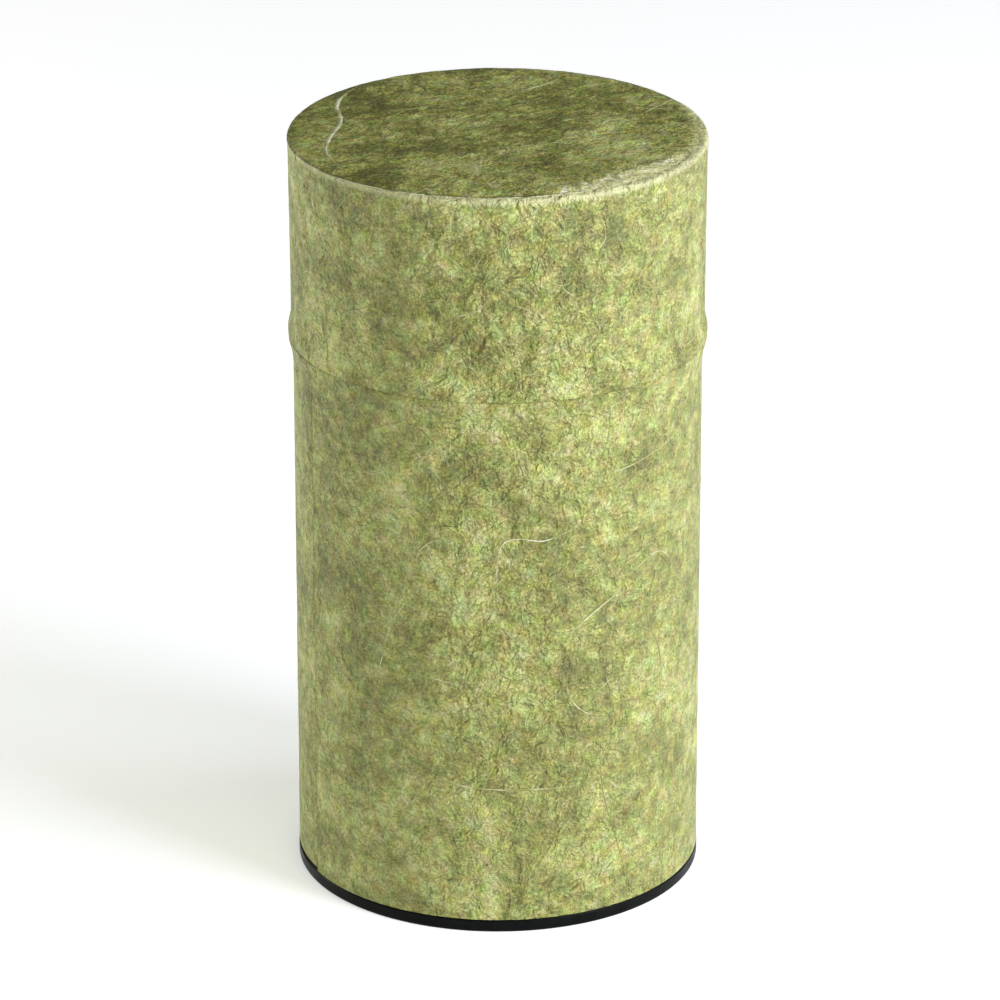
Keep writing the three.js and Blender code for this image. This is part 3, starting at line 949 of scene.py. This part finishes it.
def wandering(rng, u, v, length, curl):
    """A fibre's path: short steps whose direction drifts."""
    steps = max(5, int(length / 0.9))
    heading = rng.uniform(0, 2 * math.pi)
    bend = rng.gauss(0, curl)
    path = [(u, v)]
    for _ in range(steps):
        bend = 0.8 * bend + rng.gauss(0, curl * 0.6)
        heading += bend * length / steps
        u += math.cos(heading) * length / steps
        v += math.sin(heading) * length / steps
        path.append((u, v))
    return path


# Long fibres through listed points: (degrees, z) on a side, (x, y) on the top; then width and tint.
CAN_STRANDS = [
    ([(0.1, 71.9), (-0.3, 79.0), (1.2, 84.0), (5.5, 85.2), (12.0, 84.5),
      (17.5, 85.4), (23.0, 87.0)], 0.38, WHITE),
    ([(18.5, 63.2), (25.0, 66.6), (31.0, 69.2), (36.8, 71.4)], 0.80, PALE),
    ([(-16.5, 33.8), (-10.0, 32.0), (0.0, 31.4), (10.6, 31.2), (27.2, 30.8)], 0.46, PALE),
    ([(19.3, 54.0), (20.6, 50.0), (25.0, 46.6), (31.6, 45.0)], 0.32, PALE),
    ([(-37.0, 50.0), (-34.5, 56.0), (-32.0, 63.0), (-28.0, 68.5), (-23.5, 71.9)], 0.34, PALE),
    ([(-59.3, 65.7), (-59.8, 60.0), (-62.5, 56.6), (-68.0, 55.6)], 0.40, PALE),
    ([(-68.0, 29.5), (-65.0, 23.0), (-60.2, 18.2)], 0.42, PALE),
    ([(-78.5, 11.7), (-71.0, 13.4), (-64.5, 13.2)], 0.40, PALE),
    ([(-41.0, 95.7), (-36.0, 96.0), (-31.3, 97.6)], 0.36, PALE),
    ([(29.8, 96.3), (40.3, 97.2), (50.0, 98.4), (57.8, 99.6)], 0.36, PALE),
    ([(52.5, 98.2), (60.0, 103.0), (70.0, 106.9)], 0.34, PALE),
    ([(46.4, 10.7), (54.0, 10.3), (61.3, 9.6)], 0.36, PALE),
    ([(32.4, 110.7), (31.6, 104.0), (28.0, 98.2)], 0.34, OLIVE),
    ([(29.8, 36.9), (31.0, 28.0), (35.5, 17.0), (40.3, 5.7)], 0.32, OLIVE),
    ([(44.7, 70.7), (47.0, 62.0), (51.5, 56.0), (53.4, 48.2)], 0.60, GREEN),
    ([(61.3, 23.2), (61.0, 31.0), (65.5, 37.3), (72.0, 38.8), (80.5, 38.2)], 0.40, OLIVE),
    ([(-10.4, 91.7), (-6.0, 92.6), (-0.8, 90.7)], 0.42, BROWN),
    ([(2.7, 45.6), (6.0, 43.8), (12.3, 44.6)], 0.30, OLIVE),
    ([(0.1, 56.6), (4.5, 55.0), (8.8, 55.6)], 0.32, OLIVE),
    ([(-48.0, 88.0), (-43.0, 87.6), (-40.0, 90.0)], 0.30, OLIVE),
    ([(-14.0, 36.4), (-9.0, 33.0), (-2.0, 36.6)], 0.30, OLIVE),
    ([(-38.0, 25.0), (-36.6, 20.5), (-38.6, 17.0)], 0.34, OLIVE),
]
LID_STRANDS = [
    ([(-63.7, 153.2), (-60.0, 147.0), (-57.5, 143.2), (-51.4, 138.2)], 0.50, WHITE),
    ([(-15.6, 145.7), (-11.0, 142.3), (-6.9, 141.2), (-1.6, 147.5)], 0.26, PALE),
    ([(-13.0, 131.3), (-5.0, 133.2), (1.0, 139.4)], 0.28, PALE),
    ([(16.7, 139.4), (18.0, 136.6), (21.1, 135.0)], 0.30, PALE),
    ([(-50.0, 147.5), (-44.0, 152.4), (-37.0, 154.4)], 0.30, STRAW),
    ([(38.5, 153.6), (33.0, 147.0), (28.6, 143.6), (27.0, 137.0)], 0.36, OLIVE),
    ([(45.5, 123.2), (44.4, 118.8), (48.4, 116.4)], 0.34, OLIVE),
    ([(-52.0, 132.5), (-46.0, 133.6), (-42.0, 132.2)], 0.30, OLIVE),
    ([(60.0, 139.0), (66.0, 140.2), (69.0, 143.5)], 0.30, OLIVE),
]
TOP_STRANDS = [
    ([(-28.2, 28.0), (-31.2, 21.0), (-32.2, 14.0), (-31.2, 5.0),
      (-33.2, -6.0), (-33.6, -14.0), (-31.2, -22.5)], 1.5, WHITE),
    ([(-5.2, -20.8), (4.5, -12.6), (12.4, -8.0), (24.2, -5.2), (38.0, -3.2)], 0.75, PALE),
    ([(12.3, -19.0), (20.1, -17.3), (27.9, -17.4), (33.0, -16.6)], 0.70, PALE),
    ([(4.6, 24.4), (9.7, 29.0), (12.8, 33.6)], 0.95, PALE),
    ([(-22.3, 11.5), (-17.4, 12.7), (-11.4, 16.0)], 0.60, STRAW),
    ([(28.5, 9.5), (32.6, 15.6), (35.1, 19.2)], 0.90, PALE),
    ([(-2.7, -28.3), (0.6, -25.8), (3.5, -24.6)], 0.28, STRAW),
    ([(-39.0, -7.6), (-36.6, -9.0), (-33.8, -9.6)], 0.34, STRAW),
]
LOOSE_TINTS = [OLIVE, BROWN, GREEN, STRAW, STRAW, PALE]


def add_loose(strands, rng, path):
    strands.add(path, rng.uniform(0.14, 0.38), rng.uniform(0.02, 0.05), rng.choice(LOOSE_TINTS))


def loose_length(rng):
    return rng.uniform(1.0, 1.9) ** 3 * 2.6


def side_strands(name, body, skin, chosen, low, high, loose, seed):
    """Fibres on a papered side between the heights low and high: the chosen ones and some loose ones."""
    rng = random.Random(seed)

    def place(u, v, height):
        angle = math.degrees(u / BODY_RADIUS)
        v = min(max(v, low), high)
        r = skin(angle, v) + height
        return (r * math.sin(u / BODY_RADIUS), -r * math.cos(u / BODY_RADIUS), v)

    strands = Strands(place)
    for points, width, tint in chosen:
        flat = [(math.radians(a) * BODY_RADIUS, z) for a, z in points]
        strands.add(smooth_line(flat, 8), width, 0.05, tint, 0.72)
    for _ in range(loose):
        length = loose_length(rng)
        u = rng.uniform(-math.pi, math.pi) * BODY_RADIUS
        path = wandering(rng, u, rng.uniform(low, high), length, CURL)
        if low <= min(p[1] for p in path) and max(p[1] for p in path) <= high:
            add_loose(strands, rng, path)
    strands.build(name, body)


def top_strands(loose, seed):
    rng = random.Random(seed)
    reach = DISC_RADIUS - 1.3
    strands = Strands(on_disc)
    for points, width, tint in TOP_STRANDS:
        strands.add(smooth_line(points, 8), width, 0.025, tint, 0.5)
    for _ in range(loose):
        length = loose_length(rng)
        far = reach * math.sqrt(rng.random())
        turn = rng.uniform(0, 2 * math.pi)
        path = wandering(rng, far * math.cos(turn), far * math.sin(turn), length, CURL)
        if max(math.hypot(*p) for p in path) <= reach:
            add_loose(strands, rng, path)
    strands.build("fibres_lid_top", "outer_lid")


can_wall()
can_bottom()
inner_lid()
knob()
rivet()
washer()
lid_shell()
can_paper()
lid_side_paper()
lid_top_paper()
side_strands(
    "fibres_can", "can", can_skin, CAN_STRANDS,
    low=RING_HEIGHT + 1.2, high=LEDGE - 0.4, loose=230, seed=7,
)
side_strands(
    "fibres_lid_side", "outer_lid", lid_skin, LID_STRANDS,
    low=LID_FOOT + 0.4, high=LID_TIN_TOP - 1.2, loose=90, seed=8,
)
top_strands(loose=40, seed=9)


# ---- Floor, camera and light ----

def floor():
    size = 6.0
    mesh = bpy.data.meshes.new("floor")
    corners = [(-size, -size, 0), (size, -size, 0), (size, size, 0), (-size, size, 0)]
    mesh.from_pydata(corners, [], [(0, 1, 2, 3)])
    thing = bpy.data.objects.new("floor", mesh)
    bpy.context.scene.collection.objects.link(thing)
    g = Graph("floor_white")
    g.set(Base_Color=(0.88, 0.885, 0.895, 1), Roughness=0.9, Specular_IOR_Level=0.1)
    g.set(Emission_Color=(0.985, 0.99, 1.0, 1), Emission_Strength=0.395)
    mesh.materials.append(g.material)


def camera():
    """A long lens a little over a metre away, looking down at about 22 degrees."""
    distance, elevation, pitch = 1.210, math.radians(21.79), math.radians(21.831)
    data = bpy.data.cameras.new("camera")
    data.lens = 215.1
    data.sensor_width = 36.0
    data.clip_end = 50
    thing = bpy.data.objects.new("camera", data)
    middle = HEIGHT / 2 * MM
    thing.location = (0, -distance * math.cos(elevation), middle + distance * math.sin(elevation))
    thing.rotation_euler = (math.pi / 2 - pitch, 0, math.radians(-0.022))
    bpy.context.scene.collection.objects.link(thing)
    bpy.context.scene.camera = thing


def softbox(name, azimuth, elevation, power, colour, width=0.5, height=0.6):
    """An area light aimed at the caddy's middle. azimuth is in degrees from the front, positive right."""
    distance = 1.1
    data = bpy.data.lights.new(name, "AREA")
    data.shape = "RECTANGLE"
    data.size = width
    data.size_y = height
    data.energy = power
    data.color = colour
    thing = bpy.data.objects.new(name, data)
    a, e = math.radians(azimuth), math.radians(elevation)
    aim = Vector((math.sin(a) * math.cos(e), -math.cos(a) * math.cos(e), math.sin(e)))
    thing.location = aim * distance + Vector((0, 0, HEIGHT / 2 * MM))
    thing.rotation_euler = aim.to_track_quat("Z", "Y").to_euler()
    bpy.context.scene.collection.objects.link(thing)


def surroundings():
    """A pale studio: brighter before the caddy than behind it."""
    world = bpy.data.worlds.new("studio")
    bpy.context.scene.world = world
    world.use_nodes = True
    tree = world.node_tree
    back = tree.nodes["Background"]
    coordinates = tree.nodes.new("ShaderNodeTexCoord")
    parts = tree.nodes.new("ShaderNodeSeparateXYZ")
    ramp = tree.nodes.new("ShaderNodeValToRGB")
    depth = tree.nodes.new("ShaderNodeMapRange")
    depth.inputs["From Min"].default_value = -0.6
    depth.inputs["From Max"].default_value = 0.6
    tree.links.new(coordinates.outputs["Generated"], parts.inputs["Vector"])
    tree.links.new(parts.outputs["Y"], depth.inputs["Value"])
    tree.links.new(depth.outputs["Result"], ramp.inputs["Fac"])
    tree.links.new(ramp.outputs["Color"], back.inputs["Color"])
    ramp.color_ramp.elements[0].color = (0.33, 0.335, 0.305, 1)
    ramp.color_ramp.elements[1].color = (0.16, 0.162, 0.168, 1)


floor()
camera()
surroundings()
softbox("right", 92, 18, 4.6, (0.97, 0.99, 1.10))
softbox("key", 56, 20, 13.0, (0.97, 0.98, 1.18))
softbox("front", 32, 34, 2.9, (1, 1, 0.70), width=0.9, height=0.5)
softbox("left", -110, 12, 6.4, (0.99, 1, 0.82))
bpy.context.scene.view_settings.view_transform = "Standard"
